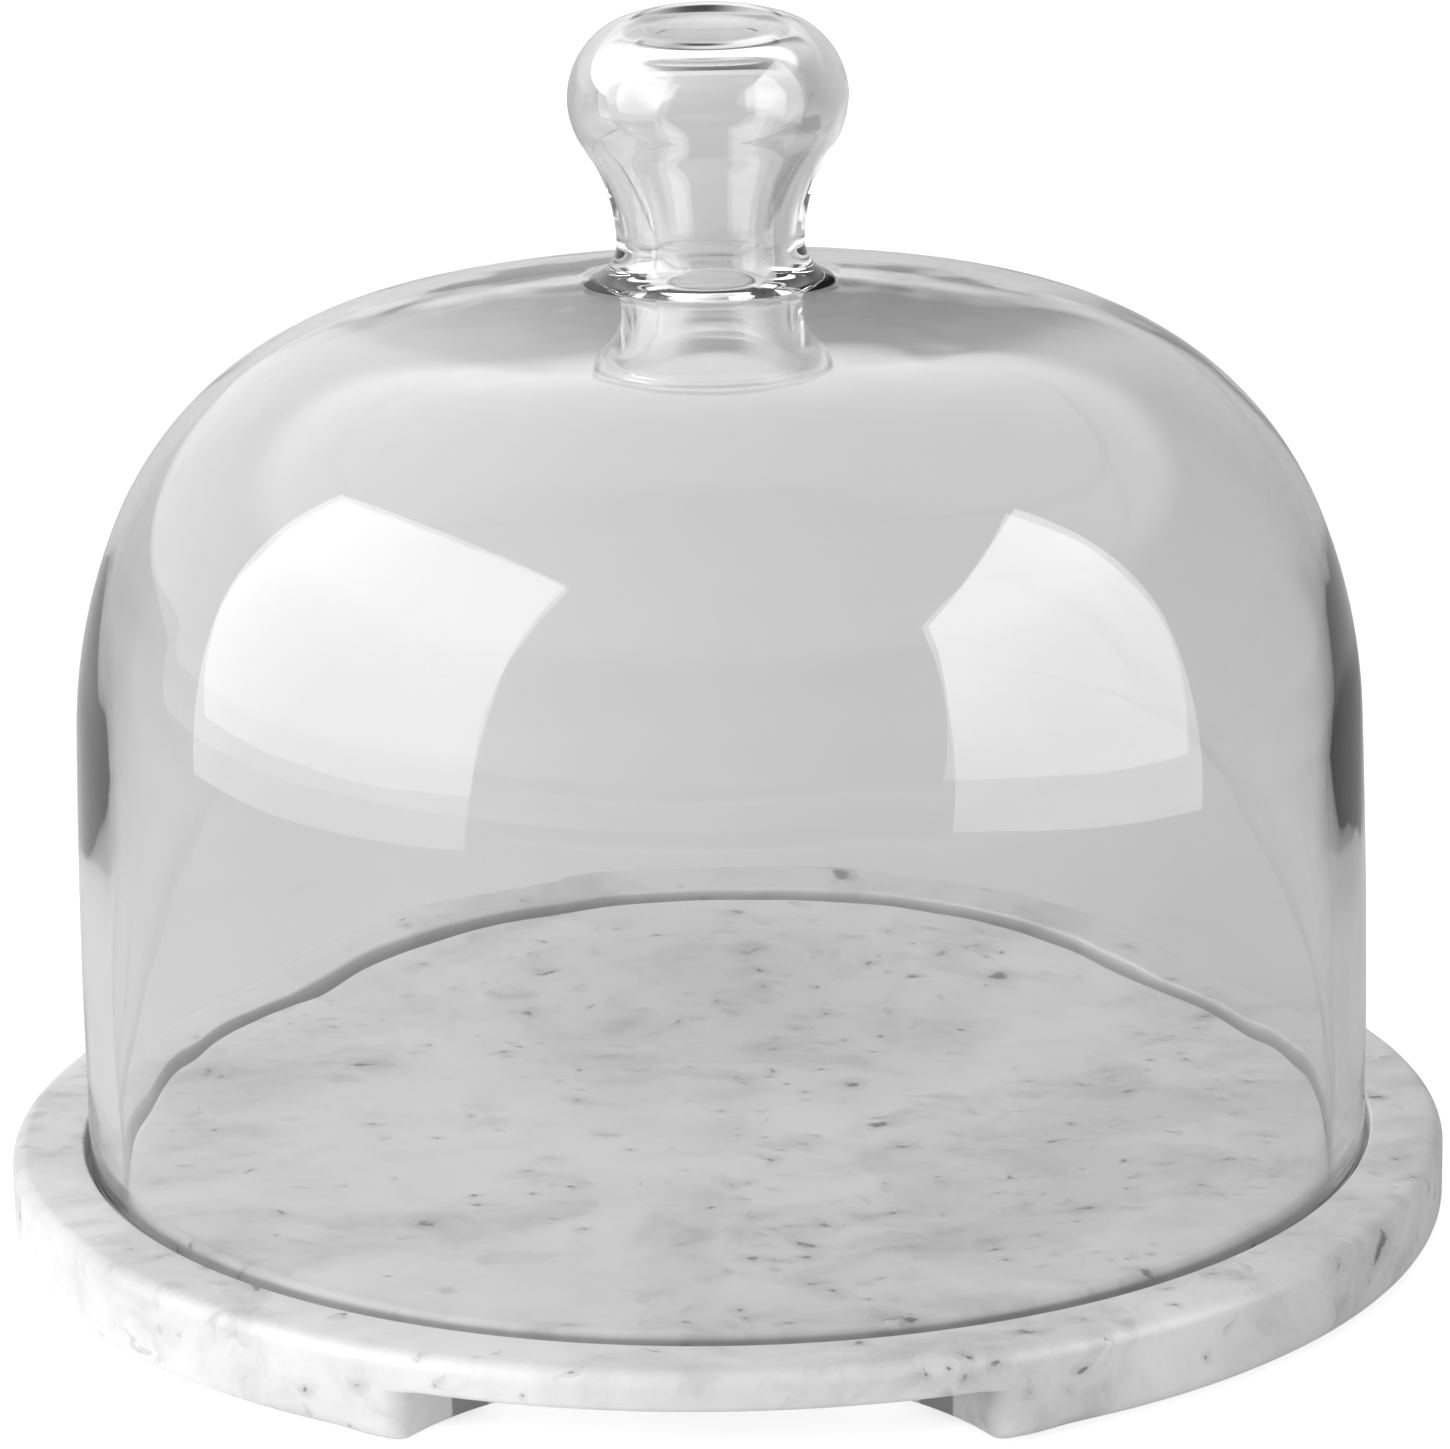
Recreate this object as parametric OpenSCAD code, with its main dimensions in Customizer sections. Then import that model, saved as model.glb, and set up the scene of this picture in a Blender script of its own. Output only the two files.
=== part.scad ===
// Cheese dome: a blown glass bell with a hollow glass knob, standing in the ring groove of a
// round marble base. Millimetres, +Z up. The origin is on the axis, on the surface that the
// felt pads stand on. The finger scoops face -Y (front) and +Y (back).

/* [Marble base] */
// Diameter of the marble base
base_d = 280; // [260:1:320]
// Thickness of the marble, underside to platform
base_t = 17; // [15:0.5:22]
// Depth of the ring groove that locates the glass
groove_depth = 4.5; // [3:0.5:5]
// Play between the glass and each wall of the groove
rim_play = 1; // [0.5:0.1:1.5]
// Rounding of the marble's upper outer edge
base_top_r = 3; // [1:0.5:4]
// Rounding of the marble's lower outer edge
base_bottom_r = 4.5; // [1:0.5:5]
// Rounding of the platform's edge
platform_edge_r = 1.6; // [0.5:0.1:2]
// Rounding of the groove's outer lip
groove_lip_r = 0.6; // [0.2:0.1:1]

/* [Finger scoops] */
// Radius of each scoop, seen from below
scoop_r = 59; // [45:1:62]
// How far each scoop reaches in from the rim
scoop_reach = 42; // [30:1:45]
// Height of the hollow under the marble
scoop_h = 9.8; // [8:0.1:10]
// Rounding where a scoop meets the rim
scoop_corner_r = 4; // [2:0.5:6]

/* [Felt pads] */
// Diameter of each pad
pad_d = 16; // [10:1:20]
// Thickness of each pad
pad_t = 1; // [0.8:0.1:2]
// Diameter of the circle that the pads sit on
pad_circle_d = 216; // [180:1:230]

/* [Glass bell] */
// Widest outer diameter of the bell
bell_d = 250; // [248:0.5:251]
// Height of the widest place above the bell's lower edge
bell_belly_h = 22; // [10:1:30]
// Radius of the wall's slight outward bow
bell_bow_r = 1500; // [1200:50:2500]
// Radius of the gentle curve above the wall
haunch_r = 110; // [100:1:120]
// Radius of the tighter curve at the shoulder
shoulder_r = 68; // [60:1:75]
// Slope at which the wall turns into the haunch
haunch_start = 2.5; // [2:0.1:3]
// Slope at which the haunch turns into the shoulder
shoulder_start = 22; // [18:1:26]
// Slope at which the shoulder turns into the crown
crown_start = 79; // [75:1:81]
// Glass thickness from the shoulder up
bell_wall_t = 3; // [2.5:0.1:4]
// Glass thickness at the lower edge
bell_rim_t = 5.6; // [4:0.1:6]
// Height above the lower edge up to which the glass keeps that thickness
bell_thick_h = 60; // [40:1:70]
// Height above the lower edge from which the glass is down to its thickness above
bell_thin_h = 126; // [110:1:140]
// Rounding of the lower edge
bell_edge_r = 1.5; // [0.5:0.1:1.9]

/* [Glass knob] */
// Radius of the knob's shallow cap
knob_cap_r = 54; // [48:1:60]
// Radius of the roll round the knob's widest place
knob_roll_r = 16; // [14:0.5:18]
// Radius of the hollow curve down to the neck
knob_waist_r = 32; // [28:1:36]
// Slope at which the cap turns into the roll
knob_cap_end = 74; // [72:1:76]
// Slope at which the roll turns into the waist
knob_roll_end = 35; // [30:1:40]
// Radius of the flare between the neck and the knob's foot
knob_flare_r = 6; // [4:0.5:8]
// Thickness of the foot's edge
knob_foot_t = 0.6; // [0.3:0.1:1]
// Glass thickness of the knob
knob_wall_t = 7.2; // [5:0.1:9]
// Radius of the lip where the knob's hollow opens into the bell
hollow_lip_r = 8; // [6:0.5:8]

/* [Hidden] */
$fn = 128;

// Gap between the bell's lower edge and the groove's floor
rim_gap = 0.15;
// How far a cutting solid runs past the face it cuts through
past = 2;

// Marble heights and radii
base_r = base_d / 2;
bell_r = bell_d / 2;
groove_r = bell_r + rim_play;
platform_r = bell_r - bell_rim_t - rim_play;
base_bottom_z = pad_t;
base_top_z = base_bottom_z + base_t;
groove_floor_z = base_top_z - groove_depth;
scoop_y = base_r - scoop_reach + scoop_r;

// Bell: four arcs, each tangent to the next, with the crown's centre on the axis
bell_bottom_z = groove_floor_z + rim_gap;
bow_c = [bell_r - bell_bow_r, bell_bottom_z + bell_belly_h];
haunch_c = bow_c + (bell_bow_r - haunch_r) * turn(haunch_start);
shoulder_c = haunch_c + (haunch_r - shoulder_r) * turn(shoulder_start);
crown_drop = shoulder_c.x / cos(crown_start);
crown_c = shoulder_c - crown_drop * turn(crown_start);
crown_r = shoulder_r + crown_drop;
bow_start = asin((bell_bottom_z + bell_edge_r - bow_c.y) / bell_bow_r);

// Knob: cap, roll, waist and flare, each tangent to the next, placed from the knob's top down.
// The hollow's roll and waist share their centres, one glass thickness inside, and its top is flat.
roll_drop = [0, -knob_cap_r] + (knob_cap_r - knob_roll_r) * turn(knob_cap_end);
waist_drop = roll_drop + (knob_roll_r + knob_waist_r) * turn(-knob_roll_end);
neck_r = waist_drop.x - knob_waist_r;
flare_drop = [neck_r + knob_flare_r, waist_drop.y];
flare_end = 70;
foot_edge_drop = flare_drop - knob_flare_r * turn(flare_end);
knob_foot_r = foot_edge_drop.x;
knob_h = knob_foot_t - foot_edge_drop.y;

// The crown is flat where the knob's foot is fused to it
seat_angle = acos(knob_foot_r / crown_r);
seat_z = crown_c.y + crown_r * sin(seat_angle);
knob_top = [0, seat_z + knob_h];

hollow_top_z = knob_top.y + roll_drop.y + knob_roll_r - knob_wall_t;

// The hollow's lip is tangent to the underside of the crown, and the seat's plane cuts it
lip_x = neck_r - knob_wall_t + hollow_lip_r;
lip_reach = crown_r - bell_wall_t + hollow_lip_r;
lip_angle = acos(lip_x / lip_reach);
lip_c = crown_c + lip_reach * turn(lip_angle);
lip_cut = 180 + asin((lip_c.y - seat_z) / hollow_lip_r);

// Unit vector at angle a
function turn(a) = [cos(a), sin(a)];

// Points along an arc, from angle a0 to angle a1 in n steps
function arc(c, r, a0, a1, n) = [for (i = [0:n]) c + r * turn(a0 + (a1 - a0) * i / n)];

// Glass thickness at height z: thick below, thin above, with a smooth change between
function bell_t(z) =
    let (rise = (z - bell_bottom_z - bell_thick_h) / (bell_thin_h - bell_thick_h),
         s = min(1, max(0, rise)))
    bell_rim_t - (bell_rim_t - bell_wall_t) * s * s * (3 - 2 * s);

// Like arc, but on the inner surface of the bell, one glass thickness inside
function inner_arc(c, r, a0, a1, n) =
    [for (p = arc(c, r, a0, a1, n)) p - bell_t(p.y) * (p - c) / r];

// Half outline of the marble, from the axis on top round to the axis below
function marble_outline() = concat(
    [[0, base_top_z]],
    arc([platform_r - platform_edge_r, base_top_z - platform_edge_r], platform_edge_r, 90, 0, 6),
    [[platform_r, groove_floor_z], [groove_r, groove_floor_z]],
    arc([groove_r + groove_lip_r, base_top_z - groove_lip_r], groove_lip_r, 180, 90, 4),
    arc([base_r - base_top_r, base_top_z - base_top_r], base_top_r, 90, 0, 8),
    arc([base_r - base_bottom_r, base_bottom_z + base_bottom_r], base_bottom_r, 0, -90, 10),
    [[0, base_bottom_z]]
);

// Half outline of the bell: down the outside, round the lower edge, up the inside and round
// the lower part of the hollow's lip
function bell_outline() =
    let (rim_x = (bow_c + bell_bow_r * turn(bow_start)).x,
         edge_z = bell_bottom_z + bell_edge_r)
    concat(
        arc(crown_c, crown_r, seat_angle, crown_start, 6),
        arc(shoulder_c, shoulder_r, crown_start, shoulder_start, 22),
        arc(haunch_c, haunch_r, shoulder_start, haunch_start, 10),
        arc(bow_c, bell_bow_r, haunch_start, bow_start, 8),
        arc([rim_x - bell_edge_r, edge_z], bell_edge_r, 0, -90, 6),
        arc([rim_x - bell_rim_t + bell_edge_r, edge_z], bell_edge_r, -90, -180, 6),
        inner_arc(bow_c, bell_bow_r, bow_start, haunch_start, 8),
        inner_arc(haunch_c, haunch_r, haunch_start, shoulder_start, 10),
        inner_arc(shoulder_c, shoulder_r, shoulder_start, crown_start, 22),
        inner_arc(crown_c, crown_r, crown_start, lip_angle, 6),
        arc(lip_c, hollow_lip_r, 180 + lip_angle, lip_cut, 8)
    );

// Half outline of the knob, down its outside to the foot and up the inside of its hollow
function knob_outline() = concat(
    arc(knob_top - [0, knob_cap_r], knob_cap_r, 90, knob_cap_end, 4),
    arc(knob_top + roll_drop, knob_roll_r, knob_cap_end, -knob_roll_end, 18),
    arc(knob_top + waist_drop, knob_waist_r, 180 - knob_roll_end, 180, 8),
    arc(knob_top + flare_drop, knob_flare_r, 180, 180 + flare_end, 8),
    [[knob_foot_r, seat_z]],
    arc(lip_c, hollow_lip_r, lip_cut, 180, 6),
    arc(knob_top + waist_drop, knob_waist_r + knob_wall_t, 180, 180 - knob_roll_end, 8),
    arc(knob_top + roll_drop, knob_roll_r - knob_wall_t, -knob_roll_end, 90, 16),
    [[0, hollow_top_z]]
);

// Corner of a scoop: what lies outside a circle that touches both the scoop and the rim
module scoop_corner() {
    tip_d = base_r - scoop_corner_r;
    scoop_d = scoop_r + scoop_corner_r;
    tip_y = (tip_d * tip_d + scoop_y * scoop_y - scoop_d * scoop_d) / (2 * scoop_y);
    tip = [sqrt(tip_d * tip_d - tip_y * tip_y), tip_y];
    reach = 4 * scoop_corner_r;
    out = tip / norm(tip);
    in = ([0, scoop_y] - tip) / norm([0, scoop_y] - tip);
    difference() {
        polygon([tip, tip + reach * in, tip + reach * (in + out), tip + reach * out]);
        translate(tip) circle(scoop_corner_r);
    }
}

// One finger scoop, cut up into the marble from below on the +Y side
module scoop() {
    translate([0, 0, base_bottom_z - past])
        linear_extrude(scoop_h + past) {
            translate([0, scoop_y]) circle(scoop_r);
            scoop_corner();
            mirror([1, 0]) scoop_corner();
        }
}

// Felt pad stuck under the marble, at the given angle round the axis
module felt_pad(angle) {
    color("dimgray")
        translate([pad_circle_d / 2 * cos(angle), pad_circle_d / 2 * sin(angle), 0])
            cylinder(h = pad_t, d = pad_d);
}

// Round marble board with a ring groove and two finger scoops
module marble_base() {
    color("whitesmoke")
        difference() {
            rotate_extrude() polygon(marble_outline());
            scoop();
            rotate([0, 0, 180]) scoop();
        }
}

// Blown glass bell, open below, and open above into the knob's hollow
module glass_bell() {
    color("lightcyan", 0.35)
        rotate_extrude() polygon(bell_outline());
}

// Thick-walled glass knob, fused to the bell's crown
module glass_knob() {
    color("lightcyan", 0.5)
        rotate_extrude() polygon(knob_outline());
}

module pad_front_left() { felt_pad(225); }
module pad_front_right() { felt_pad(315); }
module pad_back_left() { felt_pad(135); }
module pad_back_right() { felt_pad(45); }

marble_base();
glass_bell();
glass_knob();
pad_front_left();
pad_front_right();
pad_back_left();
pad_back_right();
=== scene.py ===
"""Looks of the cheese dome: a blown glass bell with a hollow glass knob on a round marble base.

Metres, +Z up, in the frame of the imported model. The camera looks along +Y from the front.
"""

import math

import bpy
import numpy as np
from mathutils import Matrix, Vector, noise


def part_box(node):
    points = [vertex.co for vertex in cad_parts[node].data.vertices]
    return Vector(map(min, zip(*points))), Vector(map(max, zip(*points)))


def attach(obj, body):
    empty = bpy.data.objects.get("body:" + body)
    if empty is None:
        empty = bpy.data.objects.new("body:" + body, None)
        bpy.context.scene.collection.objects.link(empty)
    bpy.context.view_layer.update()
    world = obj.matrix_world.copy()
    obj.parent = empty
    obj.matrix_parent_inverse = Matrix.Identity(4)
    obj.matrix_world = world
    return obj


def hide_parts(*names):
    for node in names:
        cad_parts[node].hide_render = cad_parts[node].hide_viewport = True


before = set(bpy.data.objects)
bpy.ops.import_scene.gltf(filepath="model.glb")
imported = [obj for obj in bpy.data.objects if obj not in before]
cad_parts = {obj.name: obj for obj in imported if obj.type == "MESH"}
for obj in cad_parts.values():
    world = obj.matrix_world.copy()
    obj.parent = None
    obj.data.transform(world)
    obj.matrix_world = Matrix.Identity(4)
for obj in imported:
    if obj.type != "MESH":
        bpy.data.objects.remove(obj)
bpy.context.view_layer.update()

MM = 0.001

BASE_LO, BASE_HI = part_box("marble_base")
BELL_LO, BELL_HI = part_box("glass_bell")
KNOB_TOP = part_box("glass_knob")[1].z
PADS = ("pad_front_left", "pad_front_right", "pad_back_left", "pad_back_right")

# Glass bell: heights above its lower edge, and angles in degrees up from level
BELL_R = BELL_HI.x
BELL_BELLY_H = 22 * MM
BELL_BOW_R = 1500 * MM
HAUNCH_R = 110 * MM
SHOULDER_R = 68 * MM
HAUNCH_START = 2.5
SHOULDER_START = 22
CROWN_START = 79
BELL_WALL_T = 3 * MM
BELL_RIM_T = 5.6 * MM
BELL_THICK_H = 60 * MM
BELL_THIN_H = 126 * MM
BELL_EDGE_R = 1.5 * MM

# Glass knob: angles in degrees up or down from level
KNOB_CAP_R = 54 * MM
KNOB_ROLL_R = 16 * MM
KNOB_WAIST_R = 32 * MM
KNOB_CAP_END = 74
KNOB_ROLL_END = 35
KNOB_FLARE_R = 6.5 * MM

# Hollow inside the knob, open to the bell
KNOB_WALL_T = 7.2 * MM
HOLLOW_LIP_R = 8 * MM

# Points round the glass
GLASS_STEPS = 320

# Marble
BASE_R = BASE_HI.x
BASE_TOP_R = 3 * MM
BASE_BOTTOM_R = 4.5 * MM
GROOVE_DEPTH = 4.5 * MM
GROOVE_FOOT_R = 0.8 * MM
RIM_PLAY = 1 * MM
PLATFORM_R = BELL_R - BELL_RIM_T - RIM_PLAY
GROOVE_R = BELL_R + RIM_PLAY
LIP_R = 0.6 * MM
PLATFORM_EDGE_R = 1.6 * MM
SCOOP_R = 59 * MM
SCOOP_REACH = 42 * MM
SCOOP_H = 9.8 * MM
SCOOP_CORNER_R = 4 * MM
SCOOP_EDGE_R = 0.9 * MM
ROOF_EDGE_R = 1.4 * MM

# The rim's rounding below is slighter near a scoop: the share left at the corner, and how far it takes
CORNER_SHARE = 0.55
CORNER_FADE = 14 * MM

# Points round the marble: along each stretch of rim, and over each scoop
RIM_STEPS = 150
ARCH_STEPS = 64


def turn(angle):
    """Unit vector at an angle in degrees."""
    return np.array([math.cos(math.radians(angle)), math.sin(math.radians(angle))])


def arc(centre, radius, start, end, steps):
    """Points along an arc, from one angle to the other."""
    return [np.asarray(centre) + radius * turn(start + (end - start) * i / steps) for i in range(steps + 1)]


def line(start, end, steps):
    """Points along a straight line, without its two ends."""
    start, end = np.asarray(start, float), np.asarray(end, float)
    return [start + (end - start) * i / steps for i in range(1, steps)]


def smooth(low, high, value):
    """0 below low, 1 above high, and an even S-curve between."""
    t = min(1.0, max(0.0, (value - low) / (high - low)))
    return t * t * (3 - 2 * t)


def ripple(point, size, seed):
    """Smooth noise from about -1 to 1 with bumps of the given size."""
    return noise.noise(Vector(point) / size + Vector((seed, 2 * seed, 3 * seed)))


def mesh_object(name, points, faces, sharp_angle=None):
    """A smooth-shaded mesh. Edges where its faces turn by more than sharp_angle, if given, are sharp."""
    mesh = bpy.data.meshes.new(name)
    mesh.from_pydata([tuple(p) for p in points], [], faces)
    mesh.validate()
    mesh.shade_smooth()
    if sharp_angle is not None:
        mesh.set_sharp_from_angle(angle=math.radians(sharp_angle))
    obj = bpy.data.objects.new(name, mesh)
    bpy.context.scene.collection.objects.link(obj)
    return obj


def lathe_rings(outline, steps):
    """Rings of points: each outline point turned round the Z axis."""
    rings = []
    for radius, height in outline:
        rings.append([Vector((radius * math.cos(a), radius * math.sin(a), height))
                      for a in (2 * math.pi * j / steps for j in range(steps))])
    return rings


def turned_faces(rings, steps, closed):
    """Faces of a turned skin: point 0 on the axis, the rings and, if closed, a last point on the axis."""
    pairs = [(j, (j + 1) % steps) for j in range(steps)]
    faces = [(0, 1 + j, 1 + k) for j, k in pairs]
    for i in range(rings - 1):
        upper = 1 + i * steps
        lower = upper + steps
        faces += [(lower + j, lower + k, upper + k, upper + j) for j, k in pairs]
    if closed:
        end = 1 + (rings - 1) * steps
        faces += [(end + k, end + j, end + steps) for j, k in pairs]
    return faces


# ---------------------------------------------------------------- glass


def bell_curves():
    """Centres of the bell's four tangent arcs, from the wall to the crown, and the crown's radius."""
    bow = np.array([BELL_R - BELL_BOW_R, BELL_LO.z + BELL_BELLY_H])
    haunch = bow + (BELL_BOW_R - HAUNCH_R) * turn(HAUNCH_START)
    shoulder = haunch + (HAUNCH_R - SHOULDER_R) * turn(SHOULDER_START)
    drop = shoulder[0] / math.cos(math.radians(CROWN_START))
    crown = shoulder - drop * turn(CROWN_START)
    return bow, haunch, shoulder, crown, SHOULDER_R + drop


def wall_t(height):
    """Glass thickness at a height: thick below, thin above, with a smooth change between."""
    rise = smooth(BELL_LO.z + BELL_THICK_H, BELL_LO.z + BELL_THIN_H, height)
    return BELL_RIM_T - (BELL_RIM_T - BELL_WALL_T) * rise


def knob_curves(inset):
    """The knob's cap, roll and waist, on a skin this far inside the glass.

    Each has a centre, a radius, its first and last angle and a number of steps.
    """
    cap = np.array([0, KNOB_TOP - KNOB_CAP_R])
    roll = cap + (KNOB_CAP_R - KNOB_ROLL_R) * turn(KNOB_CAP_END)
    waist = roll + (KNOB_ROLL_R + KNOB_WAIST_R) * turn(-KNOB_ROLL_END)
    return ((cap, KNOB_CAP_R - inset, 90, KNOB_CAP_END, 16),
            (roll, KNOB_ROLL_R - inset, KNOB_CAP_END, -KNOB_ROLL_END, 40),
            (waist, KNOB_WAIST_R + inset, 180 - KNOB_ROLL_END, 180, 20))


def knob_outline(crown, crown_r):
    """Half outline of the knob, from its top down to where it flares out onto the crown."""
    curves = knob_curves(0)
    waist, waist_r = curves[-1][:2]
    flare_x = waist[0] - waist_r + KNOB_FLARE_R
    flare_end = math.degrees(math.acos(flare_x / (crown_r + KNOB_FLARE_R)))
    flare = crown + (crown_r + KNOB_FLARE_R) * turn(flare_end)
    return ([p for curve in curves for p in arc(*curve)[1:]]
            + arc(flare, KNOB_FLARE_R, 180, 180 + flare_end, 18)[1:])


def hollow_outline(crown, inner_crown_r):
    """Half outline of the knob's hollow, from its lip under the crown up to the edge of its flat top."""
    _, (roll, roll_r, _, roll_end, roll_steps), waist_curve = knob_curves(KNOB_WALL_T)
    waist, waist_r, waist_start, waist_end, waist_steps = waist_curve
    lip_x = waist[0] - waist_r + HOLLOW_LIP_R
    lip_angle = math.degrees(math.acos(lip_x / (inner_crown_r + HOLLOW_LIP_R)))
    lip = crown + (inner_crown_r + HOLLOW_LIP_R) * turn(lip_angle)
    return (arc(lip, HOLLOW_LIP_R, 180 + lip_angle, 180, 16)
            + arc(waist, waist_r, waist_end, waist_start, waist_steps)[1:]
            + arc(roll, roll_r, roll_end, 90, roll_steps)[1:])


def edge_outline(outer_x):
    """Half outline of the bell's rounded lower edge, from the outside at this radius to the inside."""
    centre_z = BELL_LO.z + BELL_EDGE_R
    outer_centre = outer_x - BELL_EDGE_R
    inner_centre = outer_x - BELL_RIM_T + BELL_EDGE_R
    return (arc([outer_centre, centre_z], BELL_EDGE_R, 0, -90, 8)[1:]
            + line([outer_centre, BELL_LO.z], [inner_centre, BELL_LO.z], 3)
            + arc([inner_centre, centre_z], BELL_EDGE_R, -90, -180, 8))


def glass_outlines():
    """Half outlines of the knob, the bell's outside with its edge, the bell's inside and the knob's hollow.

    Joined, they run from the knob's top to the edge of the hollow's flat top.
    """
    bow, haunch, shoulder, crown, crown_r = bell_curves()
    start = math.degrees(math.asin((BELL_LO.z + BELL_EDGE_R - bow[1]) / BELL_BOW_R))
    knob = knob_outline(crown, crown_r)
    seat = math.degrees(math.acos(knob[-1][0] / crown_r))
    hollow = hollow_outline(crown, crown_r - BELL_WALL_T)
    lip = math.degrees(math.acos(hollow[0][0] / (crown_r - BELL_WALL_T)))
    crown_steps, lip_gap = 44, 0.2
    wall = [(shoulder, SHOULDER_R, CROWN_START, SHOULDER_START, 56),
            (haunch, HAUNCH_R, SHOULDER_START, HAUNCH_START, 32),
            (bow, BELL_BOW_R, HAUNCH_START, start, 64)]
    outer_crown = (crown, crown_r, seat, CROWN_START, crown_steps)
    inner_crown = (crown, crown_r, lip - lip_gap, CROWN_START, crown_steps)
    outside = [p for curve in [outer_crown, *wall] for p in arc(*curve)[1:]]
    inside = []
    for centre, radius, first, last, steps in reversed([inner_crown, *wall]):
        inside += [p - wall_t(p[1]) * (p - centre) / radius
                   for p in arc(centre, radius, last, first, steps)[1:]]
    return knob, outside + edge_outline(outside[-1][0]), inside, hollow


def outer_shift(point):
    """How far the blown glass stands out from its true outline outside: long hollows and slight ripples."""
    return 0.022 * MM * ripple(point, 17 * MM, 23) - 0.14 * MM * (1 + ripple(point, 45 * MM, 3))


def inner_shift(point):
    """How far the blown glass stands out from its true outline inside: upright swells and fine ripples."""
    squat = Vector((point.x, point.y, point.z * 0.4))
    return 0.10 * MM * ripple(squat, 26 * MM, 11) + 0.025 * MM * ripple(squat, 9 * MM, 17)


def build_glass():
    """Bell and knob, fused as they are in the real object, as one closed skin of glass.

    The bell's skin is uneven from a little above its lower edge. The knob and its hollow are true.
    """
    knob, outside, inside, hollow = glass_outlines()
    outline = knob + outside + inside + hollow
    shifts = ([None] * len(knob) + [outer_shift] * len(outside)
              + [inner_shift] * len(inside) + [None] * len(hollow))
    slopes = np.gradient(np.array(outline), axis=0)
    true_z, uneven_z = BELL_LO.z + 6 * MM, BELL_LO.z + 22 * MM
    points = [Vector((0, 0, KNOB_TOP))]
    for ring, shift, (run, rise) in zip(lathe_rings(outline, GLASS_STEPS), shifts, slopes):
        normal = Vector((-rise, run)).normalized()
        for p in ring:
            if shift:
                share = smooth(true_z, uneven_z, p.z)
                radial = Vector((p.x, p.y, 0)).normalized()
                p = p + share * shift(p) * (radial * normal.x + Vector((0, 0, normal.y)))
            points.append(p)
    points.append(Vector((0, 0, outline[-1][1])))
    return mesh_object("glass_dome", points, turned_faces(len(outline), GLASS_STEPS, True))


# ---------------------------------------------------------------- marble


def top_outline():
    """Half outline of the marble's upper side, from near the axis out to the middle of the rim."""
    top, floor = BASE_HI.z, BASE_HI.z - GROOVE_DEPTH
    ring_gap, edge_gap = 8, 3  # in millimetres
    return ([np.array([r * MM, top]) for r in range(ring_gap, int(PLATFORM_R / MM) - edge_gap, ring_gap)]
            + arc([PLATFORM_R - PLATFORM_EDGE_R, top - PLATFORM_EDGE_R], PLATFORM_EDGE_R, 90, 0, 8)
            + arc([PLATFORM_R + GROOVE_FOOT_R, floor + GROOVE_FOOT_R], GROOVE_FOOT_R, 180, 270, 4)
            + arc([GROOVE_R - GROOVE_FOOT_R, floor + GROOVE_FOOT_R], GROOVE_FOOT_R, 270, 360, 4)
            + arc([GROOVE_R + LIP_R, top - LIP_R], LIP_R, 180, 90, 5)
            + line([GROOVE_R + LIP_R, top], [BASE_R - BASE_TOP_R, top], 3)
            + arc([BASE_R - BASE_TOP_R, top - BASE_TOP_R], BASE_TOP_R, 90, 0, 10))


def scoop_plan():
    """Half of one scoop's plan, on the +X side of the +Y scoop: the rim's end, the corner and the edge.

    The rim's end is an angle. The corner and the edge are points with outward normals, from the rim
    round the corner and along the scoop to its middle.
    """
    scoop_y = BASE_R - SCOOP_REACH + SCOOP_R
    tip_d, scoop_d = BASE_R - SCOOP_CORNER_R, SCOOP_R + SCOOP_CORNER_R
    tip_y = (tip_d**2 + scoop_y**2 - scoop_d**2) / (2 * scoop_y)
    tip = np.array([math.sqrt(tip_d**2 - tip_y**2), tip_y])
    rim_angle = math.degrees(math.atan2(tip[1], tip[0]))
    scoop_angle = math.degrees(math.atan2(scoop_y - tip[1], -tip[0]))
    corner_steps, edge_steps = 8, 24
    corner = [(tip + SCOOP_CORNER_R * turn(a), turn(a))
              for a in np.linspace(rim_angle, scoop_angle, corner_steps + 1)]
    edge = [(np.array([0, scoop_y]) + SCOOP_R * turn(a), -turn(a))
            for a in np.linspace(scoop_angle - 180, -90, edge_steps + 1)[1:]]
    return rim_angle, corner, edge


def plan_outline():
    """The marble's plan below the scoops' ceiling, anticlockwise from the front end of the +X rim.

    Each entry is x, y, the outward normal's x and y, and the radius of the rounding below.
    """
    rim_angle, corner, edge = scoop_plan()
    rim = []
    for a in np.linspace(-rim_angle, rim_angle, RIM_STEPS + 1):
        away = math.radians(rim_angle - abs(a)) * BASE_R
        share = CORNER_SHARE + (1 - CORNER_SHARE) * smooth(0, CORNER_FADE, away)
        rim.append((*(BASE_R * turn(a)), *turn(a), BASE_BOTTOM_R * share))
    quarter = []
    for i, (p, n) in enumerate(corner[1:], 1):
        share = smooth(0, len(corner) - 1, i)
        quarter.append((*p, *n, BASE_BOTTOM_R * CORNER_SHARE * (1 - share) + SCOOP_EDGE_R * share))
    quarter += [(*p, *n, SCOOP_EDGE_R) for p, n in edge]
    other = [(-x, y, -nx, ny, r) for x, y, nx, ny, r in reversed(quarter[:-1])]
    half = (rim + quarter + other)[:-1]
    return half + [(-x, -y, -nx, -ny, r) for x, y, nx, ny, r in half]


def rim_directions(rim_angle):
    """Angles round the marble: along each stretch of rim and over each scoop, from the +X rim's front end."""
    rim = np.linspace(-rim_angle, rim_angle, RIM_STEPS + 1)[:-1]
    arch = np.linspace(rim_angle, 180 - rim_angle, ARCH_STEPS + 1)[:-1]
    return np.concatenate([rim, arch, rim + 180, arch + 180])


def arch_shares(rim_angle):
    """How far the outer wall's lower edge is rounded, by direction: 0 on the rim, up to 1 over a scoop."""
    spacing = math.radians(180 - 2 * rim_angle) * BASE_R / ARCH_STEPS
    first, full = 2 * MM, 9 * MM
    arch = [smooth(first, full, min(j, ARCH_STEPS - j) * spacing) for j in range(ARCH_STEPS)]
    return 2 * ([0.0] * RIM_STEPS + arch)


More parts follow.
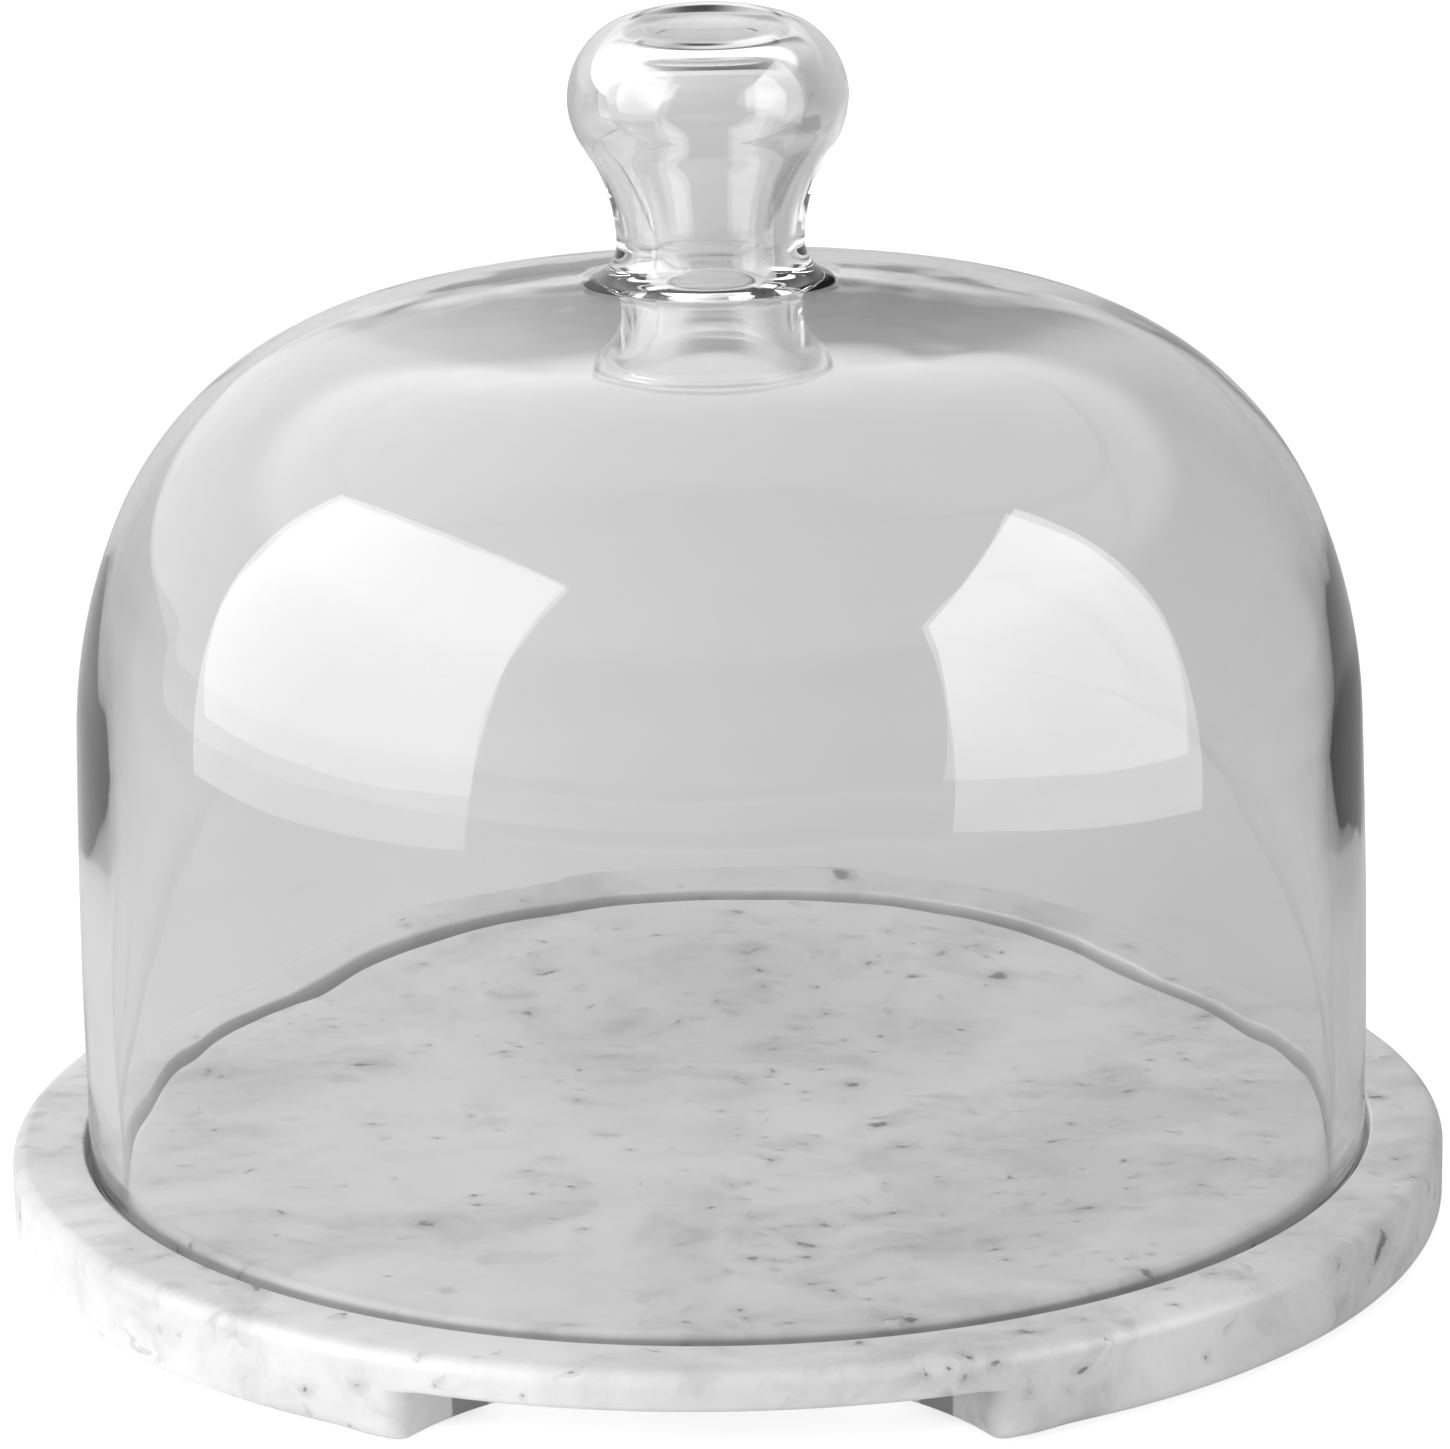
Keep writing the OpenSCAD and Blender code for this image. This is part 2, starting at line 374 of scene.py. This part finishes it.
def upper_points(angles, shares):
    """Points of the marble's upper side and rim, down to the scoops' ceiling, from the axis outwards."""
    points = [Vector((0, 0, BASE_HI.z))]
    for radius, height in top_outline():
        points += [Vector((*(radius * turn(a)), height)) for a in angles]
    roof_steps = 6
    for k in range(roof_steps + 1):
        bend = math.radians(90 * k / roof_steps)
        straight = ROOF_EDGE_R * k / roof_steps
        for a, share in zip(angles, shares):
            drop = straight + share * (ROOF_EDGE_R * math.sin(bend) - straight)
            inset = share * ROOF_EDGE_R * (1 - math.cos(bend))
            height = BASE_LO.z + SCOOP_H + ROOF_EDGE_R - drop
            points.append(Vector((*((BASE_R - inset) * turn(a)), height)))
    return points


def add_ceilings(points, faces, outline, last_ring, steps):
    """Adds the flat ceiling of each scoop, and gives the indices of the plan's points at that height.

    The plan shares the rim's points with the last ring above, and has its own points along a scoop.
    """
    count = len(outline)
    shared = {}
    for side in (0, 1):
        for j in range(RIM_STEPS + 1):
            shared[(side * count // 2 + j) % count] = last_ring + (side * steps // 2 + j) % steps
    plan = []
    for i, (x, y, *_) in enumerate(outline):
        if i in shared:
            plan.append(shared[i])
        else:
            plan.append(len(points))
            points.append(Vector((x, y, BASE_LO.z + SCOOP_H)))
    for side in (0, 1):
        cut = [plan[(side * count // 2 + j) % count] for j in range(RIM_STEPS, count // 2 + 1)]
        arch = [last_ring + (side * steps // 2 + j) % steps for j in range(RIM_STEPS + 1, steps // 2)]
        faces.append(tuple(cut + arch[::-1]))
    return plan


def add_underside(points, faces, outline, plan):
    """Adds the walls below the ceiling, in two strips, their rounding at the foot and the underside."""
    count = len(outline)
    round_steps = 7
    halfway = -1
    for k in range(halfway, round_steps + 1):
        bend = math.radians(90 * max(k, 0) / round_steps)
        ring = list(range(len(points), len(points) + count))
        for x, y, nx, ny, rounding in outline:
            inset = rounding * (1 - math.cos(bend))
            height = BASE_LO.z + rounding * (1 - math.sin(bend))
            if k == halfway:
                height = (BASE_LO.z + SCOOP_H + height) / 2
            points.append(Vector((x - nx * inset, y - ny * inset, height)))
        for j in range(count):
            m = (j + 1) % count
            faces.append((plan[j], ring[j], ring[m], plan[m]))
        plan = ring
    faces.append(tuple(reversed(plan)))


def build_marble():
    """Round board: a turned upper side, and a lower side cut by the two finger scoops."""
    rim_angle = scoop_plan()[0]
    angles = rim_directions(rim_angle)
    steps = len(angles)
    points = upper_points(angles, arch_shares(rim_angle))
    rings = (len(points) - 1) // steps
    faces = turned_faces(rings, steps, False)
    outline = plan_outline()
    plan = add_ceilings(points, faces, outline, 1 + (rings - 1) * steps, steps)
    add_underside(points, faces, outline, plan)
    return mesh_object("marble_board", points, faces, 40)


# ---------------------------------------------------------------- felt


def build_pad(node):
    """A felt disc with a soft, frayed edge, a little smaller than the CAD pad that it stands for."""
    low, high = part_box(node)
    centre = (low + high) / 2
    radius, height = (high.x - low.x) / 2, high.z - low.z
    edge = 0.35 * height
    inner_rings = (0.3, 0.6, 0.85)
    outline = ([np.array([radius * s, high.z]) for s in inner_rings]
               + arc([radius - edge, high.z - edge], edge, 90, 0, 4)
               + arc([radius - edge, low.z + edge], edge, 0, -90, 4)
               + [np.array([radius * s, low.z]) for s in reversed(inner_rings)])
    steps, shrink = 64, 0.98
    offset = Vector((centre.x, centre.y, 0))
    points = [Vector((0, 0, high.z)) + offset]
    for ring in lathe_rings(outline, steps):
        for p in ring:
            share = smooth(0.7 * radius, radius, Vector(p.xy).length)
            fray = 0.06 * MM * share * ripple(p + offset, 1.3 * MM, 5)
            p = Vector((shrink * p.x, shrink * p.y, p.z)) + p.normalized() * fray + offset
            p.z = min(high.z, max(low.z, p.z))
            points.append(p)
    points.append(Vector((0, 0, low.z)) + offset)
    faces = turned_faces(len(outline), steps, True)
    return mesh_object(node.replace("pad", "felt"), points, faces, 60)


# ---------------------------------------------------------------- materials


class Nodes:
    """A short way to build the node tree of a material, a world or a lamp."""

    OUTPUTS = {bpy.types.Material: "ShaderNodeOutputMaterial", bpy.types.World: "ShaderNodeOutputWorld",
               bpy.types.AreaLight: "ShaderNodeOutputLight"}

    def __init__(self, owner):
        owner.use_nodes = True
        self.owner, self.tree = owner, owner.node_tree
        self.tree.nodes.clear()

    def add(self, kind, inputs=(), **settings):
        """Adds a node, sets its properties, and sets or links its inputs."""
        node = self.tree.nodes.new(kind)
        for key, value in settings.items():
            setattr(node, key, value)
        for key, value in dict(inputs).items():
            if isinstance(value, bpy.types.NodeSocket):
                self.tree.links.new(value, node.inputs[key])
            else:
                node.inputs[key].default_value = value
        return node

    def math(self, operation, first, second=0.0):
        return self.add("ShaderNodeMath", {0: first, 1: second}, operation=operation).outputs[0]

    def vector(self, operation, inputs):
        """A vector operation. Its result is a number where that is what the operation gives."""
        node = self.add("ShaderNodeVectorMath", inputs, operation=operation)
        return node.outputs["Value" if operation in ("DISTANCE", "LENGTH") else "Vector"]

    def place(self, output="Object"):
        """Texture coordinates: places on the object, in metres, or directions in the world."""
        return self.add("ShaderNodeTexCoord").outputs[output]

    def split(self, vector):
        return self.add("ShaderNodeSeparateXYZ", {0: vector}).outputs

    def noise(self, vector, scale, detail=4.0, roughness=0.5, distortion=0.0):
        settings = {"Scale": scale, "Detail": detail, "Roughness": roughness, "Distortion": distortion}
        return self.add("ShaderNodeTexNoise", {"Vector": vector, **settings}).outputs["Fac"]

    def remap(self, value, low, high, to_low=0.0, to_high=1.0):
        """Takes low to to_low and high to to_high, with an even S-curve between, and stays there beyond."""
        return self.add("ShaderNodeMapRange", {"Value": value, "From Min": low, "From Max": high,
                                               "To Min": to_low, "To Max": to_high},
                        interpolation_type="SMOOTHSTEP").outputs["Result"]

    def between(self, value, low, high, soft):
        """1 where a value lies between two limits, falling to 0 over a soft edge on either side."""
        rise = self.remap(value, low - soft, low + soft)
        fall = self.remap(value, high + soft, high - soft)
        return self.math("MULTIPLY", rise, fall)

    def without(self, value, mask, strength=1.0):
        """A value, less a share of itself where the mask is 1."""
        return self.math("MULTIPLY", value, self.math("SUBTRACT", 1.0, self.math("MULTIPLY", mask, strength)))

    def mix(self, share, first, second):
        """A colour between two colours."""
        return self.add("ShaderNodeMix", {0: share, 6: first, 7: second}, data_type="RGBA").outputs[2]

    def mix_numbers(self, share, first, second):
        return self.add("ShaderNodeMix", {0: share, 2: first, 3: second}).outputs[0]

    def mix_shaders(self, share, first, second):
        return self.add("ShaderNodeMixShader", {0: share, 1: first, 2: second}).outputs[0]

    def finish(self, surface):
        """Links a shader to the output and returns the material, world or lamp."""
        output = self.tree.nodes.new(self.OUTPUTS[type(self.owner)])
        self.tree.links.new(surface, output.inputs["Surface"])
        return self.owner


def material_nodes(name):
    return Nodes(bpy.data.materials.new(name))


def grey(value):
    return (value, value, value, 1)


def glass_material():
    """Clear, faintly smoky blown glass. Light for the surfaces inside passes straight through it."""
    n = material_nodes("clear_glass")
    glass = n.add("ShaderNodeBsdfPrincipled", {"Base Color": grey(0.92), "Roughness": 0.0,
                                               "IOR": 1.5, "Transmission Weight": 1.0}).outputs[0]
    clear = n.add("ShaderNodeBsdfTransparent", {"Color": grey(0.94)}).outputs[0]
    path = n.add("ShaderNodeLightPath").outputs
    glass = n.mix_shaders(path["Is Shadow Ray"], glass, clear)
    glass = n.mix_shaders(path["Is Diffuse Ray"], glass, clear)
    return n.finish(glass)


def flecks(n, grain, cloud, scale, share, core):
    """Masks of scattered dark grains and of their halos, commoner where the cloud mask is high.

    There is at most one grain to a cell. The scale sets the size of the cells, the share how many hold
    a grain, and the core how much of its cell a grain takes up.
    """
    cells = n.add("ShaderNodeTexVoronoi", {"Vector": grain, "Scale": scale, "Randomness": 1.0})
    pick = n.add("ShaderNodeSeparateColor", {0: cells.outputs["Color"]}).outputs
    limit = n.math("MULTIPLY", n.math("ADD", cloud, 0.3), share)
    rare = n.math("LESS_THAN", pick[0], limit)
    size = n.math("ADD", n.math("MULTIPLY", pick[1], 0.8), 0.4)
    near = n.math("DIVIDE", cells.outputs["Distance"], size)
    uneven = n.math("SUBTRACT", n.noise(grain, scale * 2.5, 3.0, 0.65), 0.5)
    reach = n.math("ADD", near, n.math("MULTIPLY", uneven, core * 3.5))
    tight = n.math("MULTIPLY", n.remap(reach, core, core * 0.2), rare)
    wide = n.math("MULTIPLY", n.remap(reach, core * 3.6, core * 0.3), rare)
    return tight, wide


def marble_colour(n, place):
    """The marble's colour: pale stone, grey clouds, a haze of grain, and dark flecks of three sizes."""
    warp = n.add("ShaderNodeTexNoise", {"Vector": place, "Scale": 60.0, "Detail": 4.0}).outputs["Color"]
    bent = n.vector("ADD", {0: place, 1: n.vector("SCALE", {0: warp, 3: 0.016})})
    grain = n.add("ShaderNodeMapping", {"Vector": bent, "Rotation": (0.0, 0.0, math.radians(-14)),
                                        "Scale": (0.75, 1.0, 0.9)}).outputs[0]
    clouds = n.remap(n.noise(bent, 20.0, 5.0, 0.55, 0.6), 0.42, 0.66)
    # A wide grey area over the back half of the platform, greyest near a point just above it. It darkens only
    # there.
    middle = n.vector("DISTANCE", {0: bent, 1: Vector((0.005, 0.065, 0.026))})
    clouds = n.math("MAXIMUM", clouds, n.remap(middle, 0.075, 0.015, 0.0, 0.9))
    haze = n.remap(n.noise(grain, 75.0, 5.0, 0.62, 0.4), 0.42, 0.72)
    haze = n.math("MULTIPLY", haze, n.remap(clouds, 0.0, 1.0, 0.22, 0.60))
    colour = n.mix(n.math("MULTIPLY", clouds, 0.75), grey(0.84), grey(0.66))
    colour = n.mix(haze, colour, grey(0.50))
    for scale, share, core, dark in ((75.0, 0.34, 0.15, 0.10),
                                     (150.0, 0.30, 0.18, 0.10),
                                     (300.0, 0.16, 0.20, 0.12)):
        tight, wide = flecks(n, grain, clouds, scale, share, core)
        colour = n.mix(n.math("MULTIPLY", wide, 0.38), colour, grey(0.36))
        colour = n.mix(n.math("MULTIPLY", tight, 0.8), colour, grey(dark))
    return colour


def groove_shade_mask(n, place):
    """Mask of painted shade: 1 on the groove's floor and lower walls, 0 elsewhere."""
    x, y, z = n.split(place)
    flat = n.add("ShaderNodeCombineXYZ", {0: x, 1: y}).outputs[0]
    in_ring = n.between(n.vector("LENGTH", {0: flat}), PLATFORM_R, GROOVE_R, 0.3 * MM)
    return n.math("MULTIPLY", in_ring, n.remap(z, BASE_HI.z - 0.4 * MM, BASE_HI.z - 2.2 * MM))


def marble_material():
    """White honed marble with pale grey clouds and small drawn-out dark flecks. Its cut groove is darkened
    with painted shade.
    """
    n = material_nodes("white_marble")
    place = n.place()
    colour = marble_colour(n, place)
    # Painted shade: the groove's floor and lower walls are darkened most of the way to dark grey.
    colour = n.mix(n.math("MULTIPLY", groove_shade_mask(n, place), 0.75), colour, grey(0.18))
    pits = n.noise(place, 1400.0, 3.0, 0.6)
    bump = n.add("ShaderNodeBump", {"Height": pits, "Strength": 0.05, "Distance": 0.4 * MM})
    rough = n.remap(n.noise(place, 40.0, 3.0), 0.3, 0.7, 0.34, 0.46)
    stone = n.add("ShaderNodeBsdfPrincipled", {
        "Base Color": colour, "Roughness": rough, "IOR": 1.5, "Normal": bump.outputs[0],
        "Subsurface Weight": 0.15, "Subsurface Radius": (1.0, 0.95, 0.9), "Subsurface Scale": 3 * MM})
    return n.finish(stone.outputs[0])


def felt_material():
    """Grey felt with matted fibres."""
    n = material_nodes("grey_felt")
    fibres = n.noise(n.place(), 900.0, 6.0, 0.75, 1.5)
    colour = n.mix(fibres, grey(0.10), grey(0.26))
    bump = n.add("ShaderNodeBump", {"Height": fibres, "Strength": 0.6, "Distance": 0.3 * MM})
    felt = n.add("ShaderNodeBsdfPrincipled", {"Base Color": colour, "Roughness": 0.95, "Sheen Weight": 0.5,
                                              "Sheen Roughness": 0.5, "Normal": bump.outputs[0]})
    return n.finish(felt.outputs[0])


# ---------------------------------------------------------------- object

glass = build_glass()
glass.data.materials.append(glass_material())
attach(glass, "dome")
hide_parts("glass_bell", "glass_knob")

marble = build_marble()
marble.data.materials.append(marble_material())
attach(marble, "base")
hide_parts("marble_base")

felt = felt_material()
for node in PADS:
    pad = build_pad(node)
    pad.data.materials.append(felt)
    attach(pad, "base")
    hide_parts(node)

# ---------------------------------------------------------------- stage, light and camera

# The camera stands a little to the right of the front scoop, and floor and lamps turn with it
RIG_TURN = Matrix.Rotation(math.radians(2.6), 4, "Z")

# Main softbox on the left: its centre, the way it faces, and its width and height
LEFT_BOX = ((-0.71, -0.23, 0.43), (0.80, 0.37, -0.22), (0.92, 1.0))


def paper_material():
    """Pale paper with two areas of painted shadow, on either side behind the object, which only the glass
    bends and mirrors.

    The camera itself sees the paper plain and brighter. Elsewhere the paper glows faintly as painted light,
    more on the left than on the right.
    """
    n = material_nodes("pale_paper")
    camera = n.add("ShaderNodeLightPath").outputs["Is Camera Ray"]
    east, north, _ = n.split(n.place())
    # Painted shadow: a dark area on the paper to the right behind the object and a fainter one to the left,
    # hidden from the camera.
    right_painted_shadow = n.math("MULTIPLY", n.between(east, 0.22, 0.50, 0.04), 0.4)
    left_painted_shadow = n.math("MULTIPLY", n.between(east, -0.40, -0.25, 0.04), 0.12)
    painted_shadow = n.math("MULTIPLY", n.math("ADD", right_painted_shadow, left_painted_shadow), n.between(north, 0.16, 0.50, 0.06))
    paper = n.add("ShaderNodeBsdfDiffuse", {"Color": n.mix(n.without(painted_shadow, camera), grey(0.90), grey(0.06))})
    # The paper glows evenly and brightly for the camera. Elsewhere it has a faint glow of painted light,
    # stronger on the left.
    painted_glow = n.mix_numbers(camera, n.remap(east, 0.3, -0.3, 0.03, 0.13), 0.7)
    glow = n.add("ShaderNodeEmission", {"Color": grey(1.0), "Strength": painted_glow})
    return n.finish(n.add("ShaderNodeAddShader", {0: paper.outputs[0], 1: glow.outputs[0]}).outputs[0])


def build_floor():
    """Pale paper, flat under the object and swept up behind it."""
    half_w, front, back, sweep_r, height = 3.0, -3.0, 1.1, 0.3, 0.36
    side = ([np.array([front, 0.0]), np.array([back, 0.0])]
            + arc([back, sweep_r], sweep_r, -90, 0, 24)[1:]
            + [np.array([back + sweep_r, height])])
    points = [Vector((x, y, z)) for y, z in side for x in (-half_w, half_w)]
    faces = [(2 * i, 2 * i + 1, 2 * i + 3, 2 * i + 2) for i in range(len(side) - 1)]
    floor = mesh_object("floor", points, faces)
    floor.data.materials.append(paper_material())
    floor.matrix_world = RIG_TURN


def softbox(name, centre, facing, size, radiance, low_edge=1.0, mirrored=True, lights=True):
    """An upright softbox, whose brightness at its lower edge is a share of the full one.

    It is seen in reflections, lights things, or does both.
    """
    lamp = bpy.data.lights.new(name, "AREA")
    lamp.shape = "RECTANGLE"
    lamp.size, lamp.size_y = size
    lamp.energy = radiance * math.pi * size[0] * size[1]
    n = Nodes(lamp)
    height = n.split(n.add("ShaderNodeNewGeometry").outputs["Parametric"])[1]
    strength = n.remap(height, 0.0, 0.7, low_edge, 1.0)
    n.finish(n.add("ShaderNodeEmission", {"Color": grey(1.0), "Strength": strength}).outputs[0])
    obj = bpy.data.objects.new(name, lamp)
    bpy.context.scene.collection.objects.link(obj)
    obj.visible_camera = False
    obj.visible_diffuse = lights
    obj.visible_glossy = obj.visible_transmission = mirrored
    aim = Vector(facing).to_track_quat("-Z", "Y").to_matrix().to_4x4()
    obj.matrix_world = RIG_TURN @ Matrix.Translation(centre) @ aim


def build_lamps():
    """Two softboxes that the glass mirrors, and three fill lamps that only light things."""
    softbox("softbox_left", *LEFT_BOX, 3.3, 0.6, lights=False)
    softbox("softbox_right", (0.74, -0.54, 0.49), (-0.978, -0.185, 0.09), (0.95, 1.0), 4.0, 0.6, lights=False)
    softbox("fill_left", *LEFT_BOX, 3.7, mirrored=False)
    softbox("fill_right", (0.75, -0.75, 0.25), (-0.7, 0.7, -0.2), (0.8, 0.5), 1.0, mirrored=False)
    softbox("fill_low", (-0.1, -1.3, 0.11), (0.08, 1.0, -0.05), (1.6, 0.2), 2.7, mirrored=False)


def build_world():
    """A pale room: bright overhead and on the left, dimmer on the right, dark in a band behind the paper.

    Matt surfaces get less light from it than the glass mirrors, and the camera itself sees plain white.
    """
    n = Nodes(bpy.data.worlds.new("studio"))
    east, north, up = n.split(n.place("Generated"))
    rise = n.math("DEGREES", n.math("ARCSINE", up))
    aside = n.math("ABSOLUTE", n.math("DEGREES", n.math("ARCTAN2", east, north)))
    overhead = n.math("MULTIPLY", n.remap(rise, 26, 34), n.remap(aside, 70, 110, 0.75, 0.4))
    room = n.math("ADD", n.remap(east, -0.9, 0.9, 1.3, 0.45), overhead)
    band = n.math("MULTIPLY", n.between(rise, 12, 28, 1.5), n.remap(aside, 16, 2))
    room = n.without(room, band, 0.95)
    path = n.add("ShaderNodeLightPath").outputs
    room = n.without(room, path["Is Diffuse Ray"], 0.70)
    strength = n.mix_numbers(path["Is Camera Ray"], room, 1.0)
    sky = n.add("ShaderNodeBackground", {"Color": grey(1.0), "Strength": strength})
    bpy.context.scene.world = n.finish(sky.outputs[0])


def camera_turn(pitch, yaw, roll):
    """Camera axes for a look along +Y, pitched down, turned to the right and rolled, in degrees."""
    p, y, r = (math.radians(v) for v in (pitch, yaw, roll))
    forward = Vector((math.sin(y) * math.cos(p), math.cos(y) * math.cos(p), -math.sin(p)))
    right = forward.cross(Vector((0, 0, 1))).normalized()
    up = right.cross(forward)
    x_axis = right * math.cos(r) - up * math.sin(r)
    y_axis = right * math.sin(r) + up * math.cos(r)
    return Matrix((x_axis, y_axis, -forward)).transposed().to_4x4()


def build_camera():
    """The camera stands about a metre in front, 20 degrees above the base, and leans a little to one side."""
    distance, elevation = 1.05, math.radians(19.95)
    pitch, yaw, roll = 14.92, 0.06, 1.06
    lens = bpy.data.cameras.new("camera")
    lens.sensor_width = 36
    lens.lens = 131.09
    lens.clip_start, lens.clip_end = 0.05, 20
    obj = bpy.data.objects.new("camera", lens)
    place = Vector((0, -distance * math.cos(elevation), distance * math.sin(elevation) + BASE_LO.z))
    obj.matrix_world = RIG_TURN @ Matrix.Translation(place) @ camera_turn(pitch, yaw, roll)
    bpy.context.scene.collection.objects.link(obj)
    bpy.context.scene.camera = obj


build_floor()
build_lamps()
build_world()
build_camera()
bpy.context.scene.view_settings.view_transform = "Standard"
